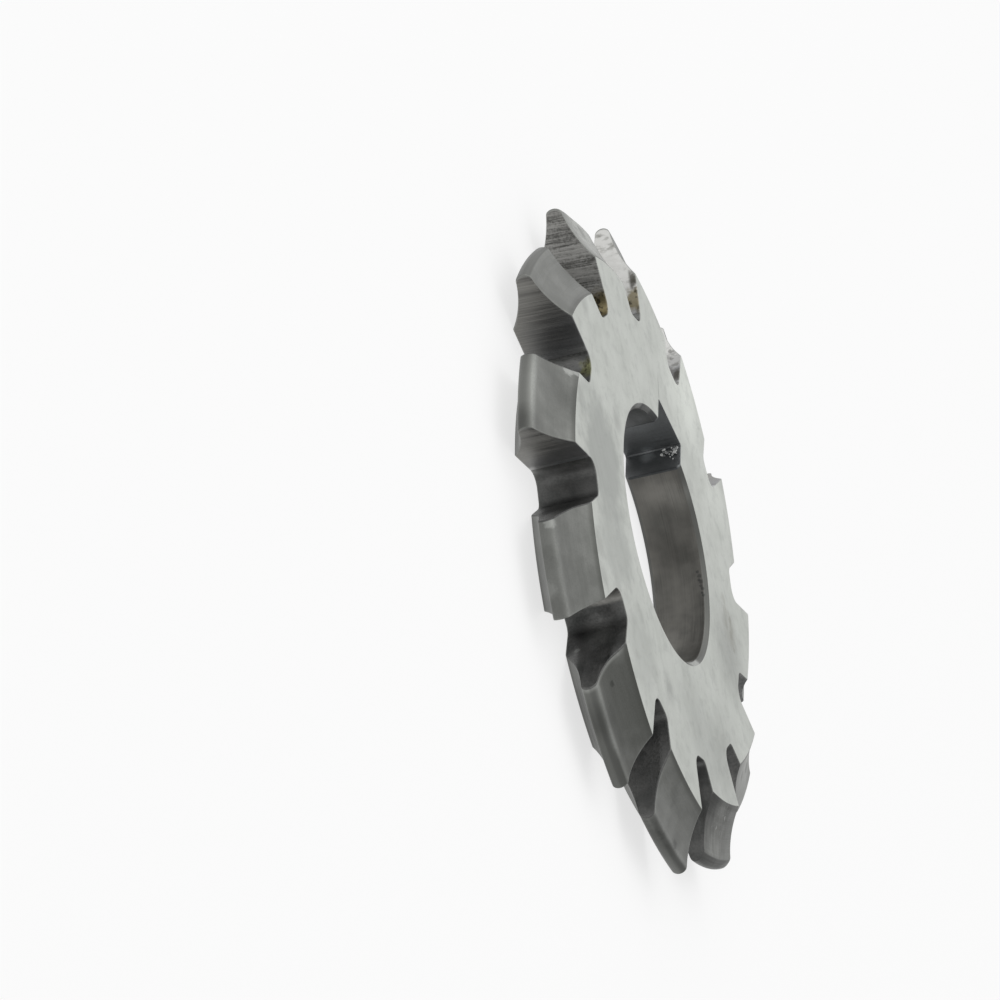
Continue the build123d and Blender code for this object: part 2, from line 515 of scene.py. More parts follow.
flank_darks = (
    ((-20.5, -19.3, 2.4), 0.9, 0.12), ((-20.0, -20.1, 2.8), 0.7, 0.1), ((-18.1, -22.8, 2.6), 1.1, 0.12),
    ((-18.8, 18.6, 3.6), 0.9, 0.3), ((8.3, -26.6, 3.3), 0.5, 0.4), ((-8.88, -23.5, 3.8), 0.35, 0.5),
    ((25.8, -5.1, 3.8), 0.7, 0.6), ((24.0, -7.4, 4.0), 0.6, 0.5), ((-15.2, 21.9, 3.2), 0.8, 0.6))


def add(tree, kind, inputs=None, **settings):
    """A new node with its settings; an input given as a socket is linked, any other is its value."""
    node = tree.nodes.new(kind)
    for name, value in settings.items():
        setattr(node, name, value)
    for name, value in (inputs or {}).items():
        if isinstance(value, bpy.types.NodeSocket):
            tree.links.new(value, node.inputs[name])
        else:
            node.inputs[name].default_value = value
    return node


def maths(tree, operation, first, second=0.0):
    """One sum, product or comparison of two values."""
    return add(tree, "ShaderNodeMath", {0: first, 1: second}, operation=operation).outputs[0]


def product(tree, first, *others):
    """Several values multiplied together."""
    for other in others:
        first = maths(tree, "MULTIPLY", first, other)
    return first


def apart(tree, first, second):
    """How far two values lie apart, either way."""
    return maths(tree, "ABSOLUTE", maths(tree, "SUBTRACT", first, second))


def eased(tree, value, low, high, to_low=0.0, to_high=1.0):
    """A value carried smoothly from the range low to high into another one, and held at its ends."""
    inputs = {0: value, 1: low, 2: high, 3: to_low, 4: to_high}
    return add(tree, "ShaderNodeMapRange", inputs, interpolation_type="SMOOTHSTEP").outputs[0]


def fading(tree, value, low, high):
    """1 up to low, 0 from high on, and smooth between them."""
    return eased(tree, value, low, high, 1.0, 0.0)


def vector_maths(tree, operation, first, second):
    """One distance, length or product of two vectors."""
    node = add(tree, "ShaderNodeVectorMath", {0: first, 1: second}, operation=operation)
    return node.outputs["Value"]


def combined(tree, x, y, z=0.0):
    """A vector of three values."""
    return add(tree, "ShaderNodeCombineXYZ", {0: x, 1: y, 2: z}).outputs[0]


def split(tree, vector):
    """The three values of a vector."""
    return add(tree, "ShaderNodeSeparateXYZ", {0: vector}).outputs[:3]


def noise(tree, vector, scale=1.0, detail=3.0, roughness=0.6):
    """Cloudy noise between 0 and 1."""
    inputs = {"Vector": vector, "Scale": scale, "Detail": detail, "Roughness": roughness}
    return add(tree, "ShaderNodeTexNoise", inputs).outputs[0]


def mixed(tree, amount, first, second, blend_type="MIX"):
    """The first colour, with the second mixed in, or multiplied in, by an amount."""
    inputs = {0: amount, 6: first, 7: second}
    return add(tree, "ShaderNodeMix", inputs, data_type="RGBA", blend_type=blend_type).outputs[2]


def laid_on(tree, colour, over, *masks, share):
    """A colour with another laid over it, by a share of its masks multiplied together."""
    return mixed(tree, product(tree, *masks, share), colour, over)


def group_of(name, inputs, outputs):
    """An empty node group with named sockets, and the ends inside it: (group, inputs, outputs)."""
    group = bpy.data.node_groups.new(name, "ShaderNodeTree")
    for socket, kind in inputs:
        group.interface.new_socket(socket, in_out="INPUT", socket_type="NodeSocket" + kind)
    for socket in outputs:
        group.interface.new_socket(socket, in_out="OUTPUT", socket_type="NodeSocketFloat")
    return group, group.nodes.new("NodeGroupInput").outputs, group.nodes.new("NodeGroupOutput").inputs


def placed(tree, group, **inputs):
    """A node group placed in a tree with its own values; gives its outputs."""
    return add(tree, "ShaderNodeGroup", inputs, node_tree=group).outputs


def new_finish(name, metallic=1.0):
    """A new material: (material, its tree, its shader, Object coordinates in millimetres)."""
    material = bpy.data.materials.new(name)
    material.use_nodes = True
    tree = material.node_tree
    shader = tree.nodes["Principled BSDF"]
    shader.inputs["Metallic"].default_value = metallic
    place = tree.nodes.new("ShaderNodeTexCoord").outputs["Object"]
    millimetres = add(tree, "ShaderNodeMapping", {"Vector": place, "Scale": (1000, 1000, 1000)}).outputs[0]
    return material, tree, shader, millimetres


def wall_lengths(tree, layer):
    """The two lengths in millimetres that a UV layer of the cutter holds."""
    return split(tree, add(tree, "ShaderNodeUVMap", uv_map=layer).outputs[0])[:2]


def finished(tree, shader, colour, texture, roughness, height, depth):
    """Links the shader's colour, its roughness by a texture, and a bump of so many millimetres."""
    tree.links.new(colour, shader.inputs["Base Color"])
    tree.links.new(eased(tree, texture, 0.0, 1.0, *roughness), shader.inputs["Roughness"])
    bump = add(tree, "ShaderNodeBump", {"Height": height, "Distance": depth * 0.001})
    tree.links.new(bump.outputs[0], shader.inputs["Normal"])


def make_tool_lines():
    """Fine lines left by a tool: noise drawn out along one way, and a few scores cut deeper.

    The lines are 0.6 of a fine noise and 0.4 of one about four times as broad.
    """
    inputs = [("Across", "Float"), ("Along", "Float"), ("Spacing", "Float"), ("Length", "Float")]
    group, given, made = group_of("tool_lines", inputs, ["Lines", "Scores"])
    x = maths(group, "DIVIDE", given["Across"], given["Spacing"])
    y = maths(group, "DIVIDE", given["Along"], given["Length"])
    fine = noise(group, combined(group, x, y))
    broad = combined(group, product(group, x, 0.23), product(group, y, 0.6), 7.0)
    broad = noise(group, broad, detail=2.0, roughness=0.5)
    both = maths(group, "ADD", product(group, fine, 0.6), product(group, broad, 0.4))
    group.links.new(eased(group, both, 0.32, 0.68), made["Lines"])
    rare = noise(group, combined(group, product(group, x, 0.6), y, 21.0), detail=1.0, roughness=0.5)
    group.links.new(eased(group, rare, 0.66, 0.74), made["Scores"])
    return group


def make_mottle():
    """Uneven tone of handled steel: broad soft clouds, and a grain 14 times as fine."""
    group, given, made = group_of("mottle", [("Vector", "Vector"), ("Size", "Float")], ["Cloud", "Grain"])
    scale = maths(group, "DIVIDE", 1.0, given["Size"])
    cloud = noise(group, given["Vector"], scale, roughness=0.55)
    group.links.new(eased(group, cloud, 0.3, 0.7), made["Cloud"])
    grain = noise(group, given["Vector"], product(group, scale, 14.0), detail=2.0)
    group.links.new(eased(group, grain, 0.3, 0.7), made["Grain"])
    return group


def make_edge_wear_and_highlight():
    """A ragged bright band along an edge: full at the edge, gone at about its width. It is partly wear and
    partly a painted highlight of the edge.
    """
    inputs = [("Distance", "Float"), ("Width", "Float"), ("Vector", "Vector")]
    group, given, made = group_of("edge_wear_and_highlight", inputs, ["Wear"])
    ragged = maths(group, "ADD", noise(group, given["Vector"], scale=2.2), 0.5)
    reach = product(group, given["Width"], ragged)
    away = maths(group, "DIVIDE", maths(group, "ABSOLUTE", given["Distance"]), reach)
    group.links.new(fading(group, away, 0.25, 1.0), made["Wear"])
    return group


def make_stain():
    """A stain: 1 about its centre, 0 beyond its reach, with a border that noise makes ragged."""
    inputs = [("Vector", "Vector"), ("Centre", "Vector"), ("Reach", "Float"), ("Ragged", "Float")]
    group, given, made = group_of("stain", [*inputs, ("Core", "Float")], ["Mask"])
    away = vector_maths(group, "DISTANCE", given["Vector"], given["Centre"])
    away = maths(group, "DIVIDE", away, given["Reach"])
    cloud = noise(group, given["Vector"], maths(group, "DIVIDE", 2.5, given["Reach"]), detail=4.0)
    ragged = product(group, maths(group, "SUBTRACT", cloud, 0.5), given["Ragged"])
    group.links.new(fading(group, maths(group, "ADD", away, ragged), given["Core"], 1.0), made["Mask"])
    return group


tool_lines = make_tool_lines()
mottle = make_mottle()
edge_wear_and_highlight = make_edge_wear_and_highlight()
stain = make_stain()


def lines_on(tree, across, along, spacing, length):
    """The lines and scores of a tool, so many millimetres apart and so long."""
    return placed(tree, tool_lines, Across=across, Along=along, Spacing=spacing, Length=length)


def stain_mask(tree, place, centre, reach, ragged=1.1, core=0.45):
    """How much a stain about a centre covers, from 0 to 1."""
    return placed(tree, stain, Vector=place, Centre=centre, Reach=reach, Ragged=ragged, Core=core)["Mask"]


def stained(tree, colour, place, stains, stain_colour, within=1.0):
    """A colour with stains of one other colour, each given as (centre, reach, share), within a mask."""
    for centre, reach, share in stains:
        mask = product(tree, stain_mask(tree, place, centre, reach), share, within)
        colour = mixed(tree, mask, colour, stain_colour)
    return colour


def toned(tree, colour, place, tones):
    """A colour made darker or lighter, softly about each centre, given as (centre, reach, factor)."""
    for centre, reach, factor in tones:
        mask = stain_mask(tree, place, centre, reach, ragged=0.35, core=0.1)
        colour = mixed(tree, mask, colour, (factor, factor, factor, 1), "MULTIPLY")
    return colour


def worn_and_highlit(tree, colour, place, distance, width):
    """A colour with a bright band along an edge, by the distance from the edge: partly wear, partly a
    painted highlight of the edge.
    """
    wear_and_highlight = placed(tree, edge_wear_and_highlight, Distance=distance, Width=width, Vector=place)["Wear"]
    return laid_on(tree, colour, wear_and_highlight_colour, wear_and_highlight, share=0.3)


def to_side_face(tree, height):
    """Distance along the cutter's axis to the nearer side face."""
    return maths(tree, "MINIMUM", height, maths(tree, "SUBTRACT", thickness, height))


def relieved_finish():
    """Lines along the tooth, a darker crest and flank, painted highlights beside the crest and on its
    corners, backs and edges bright from wear and painted highlight, streaks, flecks, and a painted shade
    line by the side faces.
    """
    material, tree, shader, place = new_finish("relieved_form")
    around, across = wall_lengths(tree, "wall")
    from_edge, past_back = wall_lengths(tree, "edges")
    lines = lines_on(tree, across, around, *form_lines)
    streaks = lines_on(tree, across, around, *form_streaks)
    crosswise = lines_on(tree, from_edge, across, *cross_streaks)
    tone = placed(tree, mottle, Vector=place, Size=flank_cloud_size)
    from_crest = maths(tree, "ABSOLUTE", across)
    on_crest = fading(tree, from_crest, crest_half_length - 0.15, crest_half_length + 0.05)
    faded = product(tree, stain_mask(tree, place, *faded_crest), 0.65)
    on_crest = product(tree, on_crest, maths(tree, "SUBTRACT", 1.0, faded))
    crest_margin = eased(tree, from_crest, crest_half_length - 0.5, crest_half_length - 0.1)
    highlight_by_crest = fading(tree, from_crest, crest_half_length, crest_half_length + crest_highlight_reach)
    painted_light_at_corner = fading(tree, apart(tree, from_crest, crest_half_length + 0.1), 0.0, corner_highlight_reach)
    by_side_face = fading(tree, to_side_face(tree, split(tree, place)[2]), 0.05, side_shade)
    by_back = fading(tree, past_back, 0.05, back_wear_and_highlight_reach)

    colour = mixed(tree, tone["Cloud"], flank_dull_colour, flank_colour)
    colour = laid_on(tree, colour, flank_line_colour, lines["Lines"], share=0.35)
    colour = stained(tree, colour, place, darker_flank_patches, flank_dark_colour)
    # painted highlight: the flank lighter beside the crest
    colour = laid_on(tree, colour, flank_line_colour, highlight_by_crest, share=0.3)
    colour = laid_on(tree, colour, crest_colour, on_crest, share=0.8)
    colour = laid_on(tree, colour, flank_dark_colour, crest_margin, on_crest, share=0.38)
    # painted highlights on the corners between crest and flank
    colour = stained(tree, colour, place, corner_highlights, wear_and_highlight_colour, painted_light_at_corner)
    # light lines at the backs: partly wear, partly painted highlight
    colour = stained(tree, colour, place, back_wear_and_highlights, wear_and_highlight_colour, by_back)
    colour = laid_on(tree, colour, flank_dull_colour, tone["Grain"], share=0.3)
    colour = laid_on(tree, colour, flank_dull_colour, streaks["Lines"], share=0.3)
    colour = stained(tree, colour, place, darkened_crests, dark_crest_colour, on_crest)
    streaked = stain_mask(tree, place, *streaked_flank)
    colour = laid_on(tree, colour, flank_dark_colour, crosswise["Lines"], streaked, share=0.8)
    grain = [maths(tree, "DIVIDE", *pair) for pair in zip((from_edge, across), fleck_size)]
    flecks = eased(tree, noise(tree, combined(tree, *grain), roughness=0.7), 0.6, 0.66)
    flecks = product(tree, flecks, stain_mask(tree, place, *flecked_flank))
    colour = mixed(tree, flecks, colour, wear_and_highlight_colour)
    # painted shade: a dark line along the flank beside each side face
    colour = laid_on(tree, colour, flank_dark_colour, by_side_face, share=0.55)
    colour = toned(tree, colour, place, relieved_tones)
    colour = stained(tree, colour, place, flank_lights, wear_and_highlight_colour)
    specks = eased(tree, noise(tree, place, scale=2.2), 0.5, 0.62)
    specked = stain_mask(tree, place, *specked_flank)
    colour = laid_on(tree, colour, crest_colour, specks, specked, share=0.5)
    colour = stained(tree, colour, place, flank_darks, dark_crest_colour)
    # a bright band at the cutting edge, partly wear and partly painted highlight
    colour = worn_and_highlit(tree, colour, place, from_edge, form_edge_wear_and_highlight)
    finished(tree, shader, colour, lines["Lines"], form_roughness, lines["Lines"], form_line_depth)
    return material


# The finish of the gashes
# Each rake face was ground last, so it is bright and carries the wheel's lines. One was ground again with a
# coarser wheel, and one is painted nearly white as a painted sheen, with painted highlights on the next. The
# gullets keep the dark scale of hardening, and brown or greenish oil has dried in some of them. Light is
# painted into the corner where each rake face runs into its gullet's floor, and the worn bands at the edges
# are partly painted highlight.
rake_colour = (0.17, 0.167, 0.158, 1)
rake_line_colour = (0.33, 0.325, 0.305, 1)
rake_scale_colour = (0.2, 0.202, 0.205, 1)
rake_scale_light_colour = (0.26, 0.262, 0.265, 1)
coarse_rake_colour = (0.11, 0.109, 0.103, 1)
coarse_rake_line_colour = (0.33, 0.327, 0.313, 1)
# painted sheen: the colours that make one rake face look glossy and nearly white
painted_sheen_colour = (0.68, 0.68, 0.66, 1)
painted_sheen_dark_colour = (0.3, 0.3, 0.28, 1)
scale_colour = (0.08, 0.082, 0.08, 1)
scale_light_colour = (0.15, 0.15, 0.146, 1)
dried_oil_colour = (0.24, 0.2, 0.105, 1)
dried_oil_dark_colour = (0.045, 0.04, 0.028, 1)
green_oil_colour = (0.2, 0.205, 0.1, 1)
# painted light, multiplied into the corner where a rake face meets its gullet's floor to lift its shade
corner_light = (2.2, 2.2, 2.2, 1)
corner_middle = 0.1           # how far past the rake's foot the corner's painted light lies
corner_fade = (0.3, 1.0)
foot_rub_fade = (1.65, 2.1)   # how far past the rake's foot its rubbed places end
rake_lines = (0.13, 6.0)
rake_line_slant = 0.06        # towards the rim for each millimetre of height
coarse_rake_lines = (0.15, 4.5)
painted_sheen_waves = (0.7, 1.6)
rake_roughness = (0.4, 0.52)
rake_line_depth = 0.01
rake_cloud_size = 3.0
rake_band_wander = 1.6
scale_from_radius = 20.5      # where the scale begins to give way to the ground band, in mid-wall
scale_to_radius = 26.5
gullet_lines = (0.25, 5.0)
gullet_roughness = (0.42, 0.6)
gullet_cloud_size = 2.4
gullet_grain_depth = 0.004
gash_wear_and_highlight = 0.12              # the width of the worn line, partly painted highlight, at the side faces
rake_edge_wear_and_highlight = 0.15         # and at the cutting edge
coarse_rake = ((-19.3, 14.2, 2.55), 9.0)
# painted sheen: the rake face coloured nearly white
sheen_painted_rake = (((-11.0, 25.3, 2.9), 5.2, 0.95), ((-9.2, 21.2, 3.9), 2.8, 0.95))
specked_rake = ((2.6, 23.2, 4.6), 3.4)
# painted highlights on the next rake face
rake_painted_highlights = (((2.7, 23.7, 4.6), 1.5, 0.5), ((2.95, 27.0, 3.4), 3.0, 1.0), ((-10.3, 23.6, 3.2), 1.7, 0.8))
rake_darks = (((2.85, 25.2, 4.2), 0.8, 0.45), ((2.4, 21.4, 4.9), 1.2, 0.75), ((-9.5, 21.9, 4.6), 1.1, 0.8))
rake_tones = (
    ((-20.8, -9.1, 2.8), 3.8, 1.7), ((-22.3, 16.5, 2.2), 3.5, 0.95), ((-17.5, 12.9, 3.9), 2.4, 1.4),
    ((-19.6, 14.4, 4.3), 2.2, 1.4), ((-23.9, -10.4, 3.9), 2.4, 1.7))
gullet_tones = (
    ((-17.4, -9.0, 2.9), 2.6, 0.65), ((-18.7, -8.2, 3.2), 0.8, 1.5), ((-9.7, -17.4, 1.6), 2.0, 0.6),
    ((-9.35, -18.6, 2.6), 2.2, 2.0), ((-9.4, -18.9, 0.4), 2.2, 0.45), ((-10.0, -17.0, 3.7), 1.4, 0.5),
    ((-19.45, 1.3, 4.1), 1.3, 1.6), ((-18.5, -12.7, 3.0), 3.0, 0.5), ((-19.0, -13.3, 1.3), 2.2, 0.55))
gullet_lights = (((-9.6, -20.0, 1.05), 0.35, 0.3),)
rubbed_feet = (((-10.9, -16.25, 4.4), 2.4, 0.85), ((-10.3, -16.6, 2.8), 1.6, 0.6))
rubbed_heels = (((-23.1, -2.3, 4.5), 0.7, 0.6), ((-22.3, -1.9, 4.9), 0.6, 0.6))
dried_oil = (((-16.3, 11.9, 4.7), 1.7, 0.9), ((-8.9, 20.1, 5.1), 1.5, 0.8), ((-2.4, 19.6, 4.9), 1.2, 0.4))
green_oil = (((-19.5, 1.3, 5.0), 1.1, 0.85),)


def radius_of(tree, x, y):
    """Distance from the bore's axis."""
    return vector_maths(tree, "LENGTH", combined(tree, x, y), (0, 0, 0))


def oiled(tree, colour, place):
    """A colour with dried oil on it, brown or greenish, with dark runs."""
    colour = stained(tree, colour, place, dried_oil, dried_oil_colour)
    colour = stained(tree, colour, place, green_oil, green_oil_colour)
    runs = eased(tree, noise(tree, place, scale=1.5), 0.48, 0.6)
    return stained(tree, colour, place, dried_oil + green_oil, dried_oil_dark_colour, runs)


def corner_lit(tree, colour, past_foot):
    """A colour made lighter where the rake face runs into the gullet's floor: painted light that lifts the
    shade of that corner.
    """
    painted_light_at_corner = fading(tree, apart(tree, past_foot, corner_middle), *corner_fade)
    return mixed(tree, painted_light_at_corner, colour, corner_light, "MULTIPLY")


def rake_finish():
    """Wheel lines along the cutter's axis, fading into the gullet's scale towards the bore.

    The painted light in the rake's corner, the coarsely ground face, the face painted nearly white as a
    sheen, oil, painted highlights, specks, and worn edges that are partly painted highlight go on in turn.
    """
    material, tree, shader, place = new_finish("rake_face")
    from_edge, past_foot = wall_lengths(tree, "edges")
    x, y, height = split(tree, place)
    radius = radius_of(tree, x, y)
    slanted = maths(tree, "ADD", radius, product(tree, height, rake_line_slant))
    lines = lines_on(tree, slanted, height, *rake_lines)["Lines"]
    coarse = lines_on(tree, slanted, height, *coarse_rake_lines)["Lines"]
    waves = lines_on(tree, slanted, height, *painted_sheen_waves)["Lines"]
    tone = placed(tree, mottle, Vector=place, Size=rake_cloud_size)
    wander = product(tree, maths(tree, "SUBTRACT", tone["Cloud"], 0.5), rake_band_wander)
    shore = maths(tree, "SUBTRACT", maths(tree, "ADD", radius, wander), height)
    ground = eased(tree, shore, scale_from_radius - thickness / 2, scale_to_radius - thickness / 2)

    bright = mixed(tree, lines, rake_colour, rake_line_colour)
    dark = mixed(tree, tone["Cloud"], rake_scale_colour, rake_scale_light_colour)
    # painted light in the corner at the rake's foot
    colour = corner_lit(tree, mixed(tree, ground, dark, bright), past_foot)
    is_coarse = stain_mask(tree, place, *coarse_rake)
    scored = maths(tree, "ADD", product(tree, coarse, 0.75), product(tree, tone["Grain"], 0.25))
    fresh = mixed(tree, eased(tree, scored, 0.1, 0.7), coarse_rake_colour, coarse_rake_line_colour)
    colour = mixed(tree, is_coarse, colour, fresh)
    colour = toned(tree, colour, place, rake_tones)
    painted_sheen = mixed(tree, eased(tree, waves, 0.1, 0.7), painted_sheen_dark_colour, painted_sheen_colour)
    # painted sheen: one rake face coloured nearly white
    colour = stained(tree, colour, place, sheen_painted_rake, painted_sheen)
    colour = oiled(tree, colour, place)
    # painted highlights on the next rake face
    colour = stained(tree, colour, place, rake_painted_highlights, painted_sheen_colour)
    specks = eased(tree, noise(tree, place, scale=2.0), 0.46, 0.6)
    specked = stain_mask(tree, place, *specked_rake)
    colour = laid_on(tree, colour, rake_colour, specks, specked, share=0.7)
    by_side_face = eased(tree, height, thickness - 0.75, thickness - 0.45)
    colour = stained(tree, colour, place, rake_darks, dried_oil_dark_colour, by_side_face)
    # bright bands at the side faces and the cutting edge: partly wear, partly painted highlight
    colour = worn_and_highlit(tree, colour, place, to_side_face(tree, height), gash_wear_and_highlight)
    colour = worn_and_highlit(tree, colour, place, from_edge, rake_edge_wear_and_highlight)
    relief = maths(tree, "ADD", product(tree, lines, ground), product(tree, coarse, is_coarse))
    finished(tree, shader, colour, lines, rake_roughness, relief, rake_line_depth)
    return material


def gullet_finish():
    """Dark scale with faint lines, painted light in the rake's corner, oil, rubbed places, and worn edges
    that are partly painted highlight.
    """
    material, tree, shader, place = new_finish("gullet_scale")
    past_foot = wall_lengths(tree, "edges")[1]
    x, y, height = split(tree, place)
    lines = lines_on(tree, radius_of(tree, x, y), height, *gullet_lines)
    tone = placed(tree, mottle, Vector=place, Size=gullet_cloud_size)
    light = product(tree, tone["Cloud"], eased(tree, lines["Lines"], 0.0, 1.0, 0.75, 1.0))
    colour = mixed(tree, light, scale_colour, scale_light_colour)
    # painted light in the corner at the rake's foot
    colour = toned(tree, corner_lit(tree, colour, past_foot), place, gullet_tones)
    colour = stained(tree, colour, place, gullet_lights, wear_and_highlight_colour)
    on_foot = fading(tree, past_foot, *foot_rub_fade)
    colour = stained(tree, colour, place, rubbed_feet, rake_line_colour, on_foot)
    colour = oiled(tree, colour, place)
    colour = stained(tree, colour, place, rubbed_heels, wear_and_highlight_colour)
    # bright bands at the side faces: partly wear, partly painted highlight
    colour = worn_and_highlit(tree, colour, place, to_side_face(tree, height), gash_wear_and_highlight)
    finished(tree, shader, colour, tone["Grain"], gullet_roughness, tone["Grain"], gullet_grain_depth)
    return material


# The finish of the bore and keyway
# The bore is ground to size and browned by old oil, with a row of small pits. Its chamfers are dull, and
# bright in places, partly rubbed and partly painted highlight. The broached keyway keeps a dark bluish skin,
# with painted shade at its mouth and in its corners.
bore_colour = (0.17, 0.165, 0.152, 1)
bore_dull_colour = (0.085, 0.084, 0.078, 1)
bore_line_colour = (0.24, 0.235, 0.215, 1)
chamfer_colour = (0.11, 0.112, 0.105, 1)
bore_lines = (0.12, 8.0)
bore_line_depth = 0.005
bore_roughness = (0.36, 0.48)
bore_cloud_size = 4.0
bore_films = (((-4.0, 10.3, 2.6), 5.5, 0.9),)
bore_tones = (((8.8, 6.6, 2.4), 3.2, 0.65), ((4.5, 10.0, 2.6), 2.2, 1.25), ((10.6, -2.8, 3.4), 4.5, 1.3),
              ((-4.6, 10.0, 4.5), 1.8, 1.6), ((5.3, 9.6, 4.2), 1.8, 1.7))
# bright places on the chamfers: partly rubbed, partly painted highlight
chamfer_wear_and_highlights = (((7.7, -8.0, 4.9), 2.0, 0.85), ((-7.6, 8.1, 4.8), 1.0, 0.4), ((-5.6, 9.5, 4.6), 1.3, 0.2))
chamfer_darks = (((-5.0, 10.1, 5.0), 4.5, 0.8),)
pit_angles = np.radians([24.3, 22.2, 20.4, 19.2, 17.2, 15.7, 13.6, 12.2])
pit_heights = np.array([4.38, 4.5, 4.43, 4.6, 4.55, 4.68, 4.6, 4.72])
pit_reaches = (0.2, 0.26, 0.18, 0.27, 0.2, 0.22, 0.16, 0.2)
pit_share = 0.55
pit_places = np.stack([bore_radius * np.cos(pit_angles), bore_radius * np.sin(pit_angles), pit_heights], -1)
bore_pits = [(tuple(pit), reach, pit_share) for pit, reach in zip(pit_places.tolist(), pit_reaches)]
key_colour = (0.155, 0.162, 0.165, 1)
key_light_colour = (0.22, 0.23, 0.236, 1)
# the colour of the painted shade in the keyway, of dark places on a chamfer, and of the pits
shade_and_pit_colour = (0.03, 0.032, 0.034, 1)
key_lines = (0.2, 6.0)
key_line_depth = 0.006
key_roughness = (0.42, 0.58)
key_cloud_size = 2.0
key_shade = (0.05, 0.25, 0.7)         # (full to, gone at, share) of the dark line at the mouth
key_corner_shade = (0.16, 0.26, 0.5)  # the same in the corners
key_tones = (((3.0, 11.7, 0.5), 1.5, 0.6), ((1.0, 13.3, 0.4), 2.0, 0.7), ((3.0, 12.8, 2.0), 1.0, 2.2))


def bore_finish():
    """Lines round the wall, soft brown clouds, dull chamfers bright in places, partly rubbed and partly
    painted highlight, and pits.
    """
    material, tree, shader, place = new_finish("bore_wall")
    around, across = wall_lengths(tree, "wall")
    lines = lines_on(tree, across, around, *bore_lines)["Lines"]
    tone = placed(tree, mottle, Vector=place, Size=bore_cloud_size)
    on_chamfer = fading(tree, to_side_face(tree, across), bore_chamfer - 0.04, bore_chamfer + 0.04)
    colour = mixed(tree, tone["Cloud"], bore_dull_colour, bore_colour)
    colour = laid_on(tree, colour, bore_line_colour, lines, share=0.3)
    colour = stained(tree, colour, place, bore_films, key_colour)
    colour = mixed(tree, on_chamfer, colour, chamfer_colour)
    colour = toned(tree, colour, place, bore_tones)
    colour = stained(tree, colour, place, chamfer_darks, shade_and_pit_colour, on_chamfer)
    colour = stained(tree, colour, place, bore_pits, shade_and_pit_colour)
    # bright places on the chamfers: partly rubbed, partly painted highlight
    colour = stained(tree, colour, place, chamfer_wear_and_highlights, wear_and_highlight_colour)
    finished(tree, shader, colour, lines, bore_roughness, lines, bore_line_depth)
    return material


def keyway_finish():
    """A dark skin with broaching lines along the slot, with painted shade at its mouth and in its corners.
    """
    material, tree, shader, place = new_finish("keyway_skin")
    around, across = wall_lengths(tree, "wall")
    lines = lines_on(tree, around, across, *key_lines)["Lines"]
    tone = placed(tree, mottle, Vector=place, Size=key_cloud_size)
    colour = mixed(tree, product(tree, tone["Cloud"], lines), key_colour, key_light_colour)
    colour = toned(tree, colour, place, key_tones)
    x, y = split(tree, place)[:2]
    full_to, gone_at, share = key_shade
    radius = radius_of(tree, x, y)
    shade_at_mouth = eased(tree, radius, bore_radius + full_to, bore_radius + gone_at, share, 0.0)
    from_wall = maths(tree, "SUBTRACT", key_width / 2, maths(tree, "ABSOLUTE", x))
    from_floor = maths(tree, "SUBTRACT", bore_radius + key_depth, y)
    shade_in_corner = eased(tree, maths(tree, "MAXIMUM", from_wall, from_floor), *key_corner_shade, 0.0)
    # painted shade at the keyway's mouth and in its corners
    colour = mixed(tree, maths(tree, "MAXIMUM", shade_at_mouth, shade_in_corner), colour, shade_and_pit_colour)
    finished(tree, shader, colour, tone["Grain"], key_roughness, lines, key_line_depth)
    return material


# The finish of the side faces
# Both side faces are surface ground and a little uneven in tone, and the upper one is coloured darker in
# broad patches over one side. Handling and old oil have left smudges, dark specks and short scratches, and a
# line is scribed from the keyway.
face_colour = (0.56, 0.58, 0.545, 1)
face_dull_colour = (0.47, 0.49, 0.455, 1)
face_line_colour = (0.62, 0.64, 0.6, 1)
face_speck_colour = (0.24, 0.25, 0.235, 1)
face_dark_colour = (0.33, 0.345, 0.325, 1)
face_smudge_colour = (0.27, 0.27, 0.235, 1)
grinding_direction = np.radians(132.0)
face_lines = (0.14, 7.0)
crossing_lines = (0.35, 2.5)
face_line_depth = 0.002
face_roughness = (0.36, 0.44)
face_cloud_size = 4.5
face_fine_cloud_size = 1.1
scribed_from = Vector((-2.95, 13.45, 0.0))
scribed_to = Vector((-3.5, 16.4, 0.0))
scribed_width = 0.12
scribed_fade = 1.5
scribed_depth = 6.0           # times the depth of the wheel's lines


def on_face(*marks):
    """Marks on the upper side face, given as (x, y, reach, share), as (centre, reach, share)."""
    return [((x, y, thickness), reach, share) for x, y, reach, share in marks]


face_dark_patches = on_face((-16.0, -5.5, 6.5, 0.8), (-12.5, -12.0, 5.0, 0.5), (-5.5, -17.5, 4.5, 0.3),
                    (10.5, -15.0, 5.0, 0.3))
face_tones = on_face((16.8, 0.8, 6.5, 0.7), (15.5, -12.5, 6.5, 0.8), (6.5, -13.5, 6.0, 0.9),
                     (3.5, 21.0, 8.0, 1.32), (12.0, 15.5, 6.0, 1.12), (-13.1, 1.2, 1.6, 0.74),
                     (1.2, -16.4, 2.1, 0.78), (-16.3, -15.3, 1.6, 0.76), (-21.8, -3.5, 1.6, 0.78),
                     (-15.0, -17.5, 1.5, 0.8), (-21.7, 6.8, 1.6, 0.78))
face_smudges = on_face((15.1, 5.5, 0.7, 0.35), (15.6, 4.4, 0.8, 0.35), (15.9, 3.2, 0.7, 0.35),
                       (16.6, 5.0, 0.4, 0.3), (17.05, 4.5, 0.55, 0.8), (17.35, 3.7, 0.7, 0.5),
                       (17.35, 3.0, 0.6, 0.75), (17.6, 2.5, 0.7, 0.4), (18.2, 2.0, 0.4, 0.7),
                       (16.8, 3.4, 2.4, 0.3))
speckled_places = on_face((-1.5, 20.9, 3.6, 0.8), (-6.5, 18.4, 2.4, 0.4))


